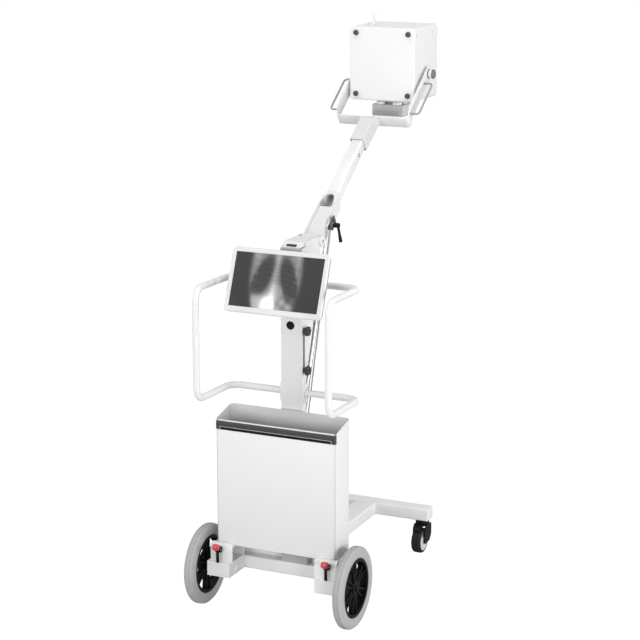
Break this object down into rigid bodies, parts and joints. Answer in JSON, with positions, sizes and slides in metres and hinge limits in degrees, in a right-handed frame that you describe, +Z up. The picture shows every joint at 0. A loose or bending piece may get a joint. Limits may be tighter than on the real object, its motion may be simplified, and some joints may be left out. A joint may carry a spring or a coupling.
{
  "type": "mobile x-ray cart",
  "caption": "Wheeled X-ray cart: base with rear wheels and casters, detector bin, push handle, tilting monitor, and a gas-spring arm holding the head in a yoke.",
  "frame": {"origin": "on the floor, under the middle of the cart's overall length and width", "axes": "+Y the way the cart is pushed, +X to the operator's right, +Z up"},
  "size_m": [0.6346, 1.334, 2.097],
  "materials": {
    "white_powder_coat": "satin",
    "white_moulding": "satin",
    "grey_tyre": "matte",
    "black_plastic": "satin",
    "caster_rubber": "matte",
    "knob_plastic": "satin",
    "black_rubber": "matte",
    "dark_grey_plastic": "satin",
    "screen_glass": "gloss",
    "bright_steel": "satin",
    "cast_aluminium": "satin",
    "mid_grey_plastic": "satin",
    "red_plastic": "gloss",
    "light_plastic": "satin"
  },
  "bodies": {
    "cart": {"rear_beam": "white_powder_coat", "front_beam": "white_powder_coat", "long_beam": "white_powder_coat", "rear_bracket_left": "white_powder_coat", "rear_bracket_right": "white_powder_coat", "stub_axle_left": "bright_steel", "stub_axle_right": "bright_steel", "detector_bin": "white_powder_coat", "bin_trim": "black_plastic", "inlet_box": "dark_grey_plastic", "column": "white_powder_coat", "column_base": "white_powder_coat", "column_cover": "white_powder_coat", "column_head": "white_powder_coat", "display_window": "screen_glass", "grommet": "black_plastic", "arm_cheeks": "white_powder_coat", "arm_pivot_pin": "white_powder_coat", "knob_strip": "black_plastic", "handle_left": "white_powder_coat", "handle_right": "white_powder_coat", "monitor_mount": "dark_grey_plastic"},
    "wheel_left": {"tyre_left": "grey_tyre", "rim_left": "black_plastic"},
    "wheel_right": {"tyre_right": "grey_tyre", "rim_right": "black_plastic"},
    "brake_left": {"brake_lever_left": "black_plastic"},
    "brake_right": {"brake_lever_right": "black_plastic"},
    "caster_fork_left": {"caster_fork_left": "black_plastic"},
    "caster_fork_right": {"caster_fork_right": "black_plastic"},
    "caster_wheel_left": {"caster_wheel_left": "caster_rubber"},
    "caster_wheel_right": {"caster_wheel_right": "caster_rubber"},
    "caster_pedal_left": {"caster_pedal_left": "black_plastic"},
    "caster_pedal_right": {"caster_pedal_right": "black_plastic"},
    "star_knob_lower": {"star_knob_lower": "knob_plastic"},
    "star_knob_upper": {"star_knob_upper": "knob_plastic"},
    "monitor": {"monitor_shell": "dark_grey_plastic", "monitor_bezel": "white_moulding", "monitor_screen": "screen_glass"},
    "arm": {"arm_root": "white_powder_coat", "arm_tube": "white_powder_coat", "arm_neck": "white_powder_coat", "rod_clamp": "black_plastic", "yoke": "white_powder_coat"},
    "clamp_lever": {"clamp_lever": "black_plastic"},
    "gas_cylinder": {"gas_cylinder": "bright_steel"},
    "gas_rod": {"gas_rod": "bright_steel"},
    "brake_rod": {"brake_rod": "bright_steel"},
    "head": {"head_rear_cover": "white_moulding", "head_housing": "white_moulding", "head_foot_lower_left": "black_rubber", "head_foot_lower_right": "black_rubber", "head_foot_upper_left": "black_rubber", "head_foot_upper_right": "black_rubber", "tilt_pivot_left": "white_moulding", "tilt_pivot_right": "white_moulding", "collimator": "mid_grey_plastic", "xray_tube_unit": "cast_aluminium"},
    "collimator_dial_left": {"collimator_dial_left": "light_plastic"},
    "collimator_dial_right": {"collimator_dial_right": "light_plastic"}
  },
  "joints": [
    {"name": "wheel_spin_left", "type": "hinge", "parent": "cart", "child": "wheel_left", "pos_m": [-0.295, -0.51702, 0.15], "axis": [1, 0, 0], "continuous": true},
    {"name": "wheel_spin_right", "type": "hinge", "parent": "cart", "child": "wheel_right", "pos_m": [0.295, -0.51702, 0.15], "axis": [1, 0, 0], "continuous": true},
    {"name": "brake_left", "type": "hinge", "parent": "cart", "child": "brake_left", "pos_m": [-0.2124, -0.57502, 0.236], "axis": [1, 0, 0], "range_deg": [-25, 20]},
    {"name": "brake_right", "type": "hinge", "parent": "cart", "child": "brake_right", "pos_m": [0.2196, -0.57502, 0.236], "axis": [1, 0, 0], "range_deg": [-25, 20]},
    {"name": "caster_swivel_left", "type": "hinge", "parent": "cart", "child": "caster_fork_left", "pos_m": [-0.233, 0.31798, 0.13], "axis": [0, 0, 1], "continuous": true},
    {"name": "caster_swivel_right", "type": "hinge", "parent": "cart", "child": "caster_fork_right", "pos_m": [0.233, 0.31798, 0.13], "axis": [0, 0, 1], "continuous": true},
    {"name": "caster_spin_left", "type": "hinge", "parent": "caster_fork_left", "child": "caster_wheel_left", "pos_m": [-0.233, 0.28998, 0.05], "axis": [1, 0, 0], "continuous": true},
    {"name": "caster_spin_right", "type": "hinge", "parent": "caster_fork_right", "child": "caster_wheel_right", "pos_m": [0.233, 0.28998, 0.05], "axis": [1, 0, 0], "continuous": true},
    {"name": "caster_brake_left", "type": "hinge", "parent": "caster_fork_left", "child": "caster_pedal_left", "pos_m": [-0.233, 0.28568, 0.109], "axis": [1, 0, 0], "range_deg": [0, 7]},
    {"name": "caster_brake_right", "type": "hinge", "parent": "caster_fork_right", "child": "caster_pedal_right", "pos_m": [0.233, 0.28568, 0.109], "axis": [1, 0, 0], "range_deg": [0, 7]},
    {"name": "star_knob_lower_turn", "type": "hinge", "parent": "cart", "child": "star_knob_lower", "pos_m": [0.0423, -0.38402, 0.8925], "axis": [1, 0, 0], "continuous": true},
    {"name": "star_knob_upper_turn", "type": "hinge", "parent": "cart", "child": "star_knob_upper", "pos_m": [0.0423, -0.38402, 1.0385], "axis": [1, 0, 0], "continuous": true},
    {"name": "monitor_tilt", "type": "hinge", "parent": "cart", "child": "monitor", "pos_m": [0, -0.4714, 1.2204], "axis": [1, 0, 0], "range_deg": [-15, 35]},
    {"name": "arm_lift", "type": "hinge", "parent": "cart", "child": "arm", "pos_m": [0, -0.23302, 1.338], "axis": [1, 0, 0], "range_deg": [-30, 15]},
    {"name": "clamp_lever_turn", "type": "hinge", "parent": "arm", "child": "clamp_lever", "pos_m": [0.0603, -0.16126, 1.3855], "axis": [1, 0, 0], "range_deg": [-60, 60]},
    {"name": "gas_cylinder_pivot", "type": "hinge", "parent": "cart", "child": "gas_cylinder", "pos_m": [0, -0.31702, 0.65], "axis": [1, 0, 0], "range_deg": [-4, 4]},
    {"name": "gas_rod_slide", "type": "slide", "parent": "gas_cylinder", "child": "gas_rod", "axis": [0, 0.306, 0.952], "range_m": [-0.08, 0.045]},
    {"name": "brake_rod_pivot", "type": "hinge", "parent": "cart", "child": "brake_rod", "pos_m": [0.05, -0.37402, 0.67], "axis": [1, 0, 0], "range_deg": [-4, 4]},
    {"name": "head_tilt", "type": "hinge", "parent": "arm", "child": "head", "pos_m": [0, 0.53369, 1.86462], "axis": [1, 0, 0], "range_deg": [-90, 90]},
    {"name": "collimator_dial_left_turn", "type": "hinge", "parent": "head", "child": "collimator_dial_left", "pos_m": [-0.034, 0.49802, 1.74332], "axis": [0, 0, 1], "range_deg": [-120, 120]},
    {"name": "collimator_dial_right_turn", "type": "hinge", "parent": "head", "child": "collimator_dial_right", "pos_m": [0.034, 0.49802, 1.74332], "axis": [0, 0, 1], "range_deg": [-120, 120]}
  ],
  "couplings": [
    {"joint": "gas_cylinder_pivot", "follows": "arm_lift", "ratio": 0.066},
    {"joint": "gas_rod_slide", "follows": "arm_lift", "m_per_rad": 0.136},
    {"joint": "brake_rod_pivot", "follows": "arm_lift", "ratio": 0.07}
  ]
}
